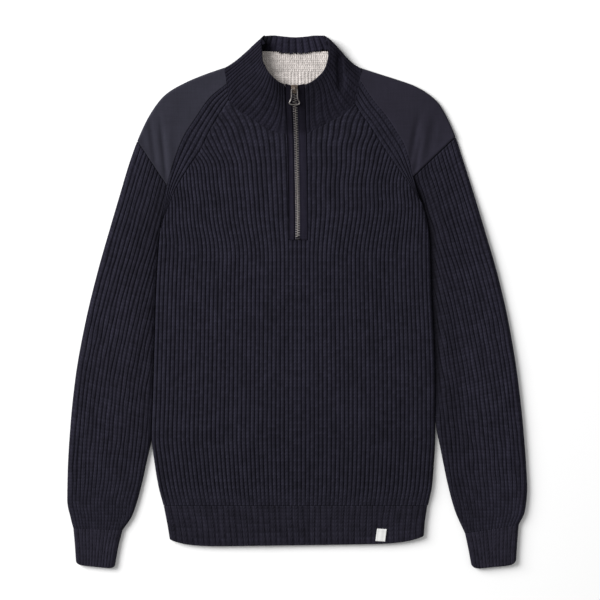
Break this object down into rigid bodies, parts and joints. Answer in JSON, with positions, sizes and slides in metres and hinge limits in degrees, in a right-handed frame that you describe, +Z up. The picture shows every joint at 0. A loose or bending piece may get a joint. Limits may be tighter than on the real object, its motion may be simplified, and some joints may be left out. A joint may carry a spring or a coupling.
{
  "type": "quarter zip sweater",
  "caption": "Rib-knit raglan sweater with a quarter zip, ribbed mock neck and woven shoulder patches, laid out flat with its sleeves beside the body.",
  "frame": {"origin": "on the surface the sweater lies on, under the middle of its outline", "axes": "+Z up out of the front, +Y from the hem to the collar, +X to the wearer's left sleeve"},
  "size_m": [0.6651, 0.7727, 0.0188],
  "materials": {
    "knit_navy": "half-cardigan rib knit, matt, slightly hairy",
    "woven_navy": "plain woven cotton, matt",
    "knit_cream": "knit, matt",
    "tape_cloth": "plain tape, matt",
    "zip_metal": "antique, darkened in the hollows",
    "label_white": "woven satin, blank"
  },
  "bodies": {
    "garment": {"back_panel": "knit_navy", "front_panel": "knit_navy", "sleeve_left": "knit_navy", "sleeve_right": "knit_navy", "cuff_left": "knit_navy", "cuff_right": "knit_navy", "hem_band": "knit_navy", "collar": "knit_navy", "shoulder_patch_left": "woven_navy", "shoulder_patch_right": "woven_navy", "neck_lining": "knit_cream", "zip_tape_left": "tape_cloth", "zip_tape_right": "tape_cloth", "zip_chain": "zip_metal", "zip_bottom_stop": "zip_metal", "zip_slider": "zip_metal", "hem_label": "label_white"},
    "pull": {"zip_pull": "zip_metal"}
  },
  "joints": [
    {"name": "pull_hinge", "type": "hinge", "parent": "garment", "child": "pull", "pos_m": [-0.00398, 0.30639, 0.01585], "axis": [-1, 0, 0], "range_deg": [0, 160]}
  ]
}
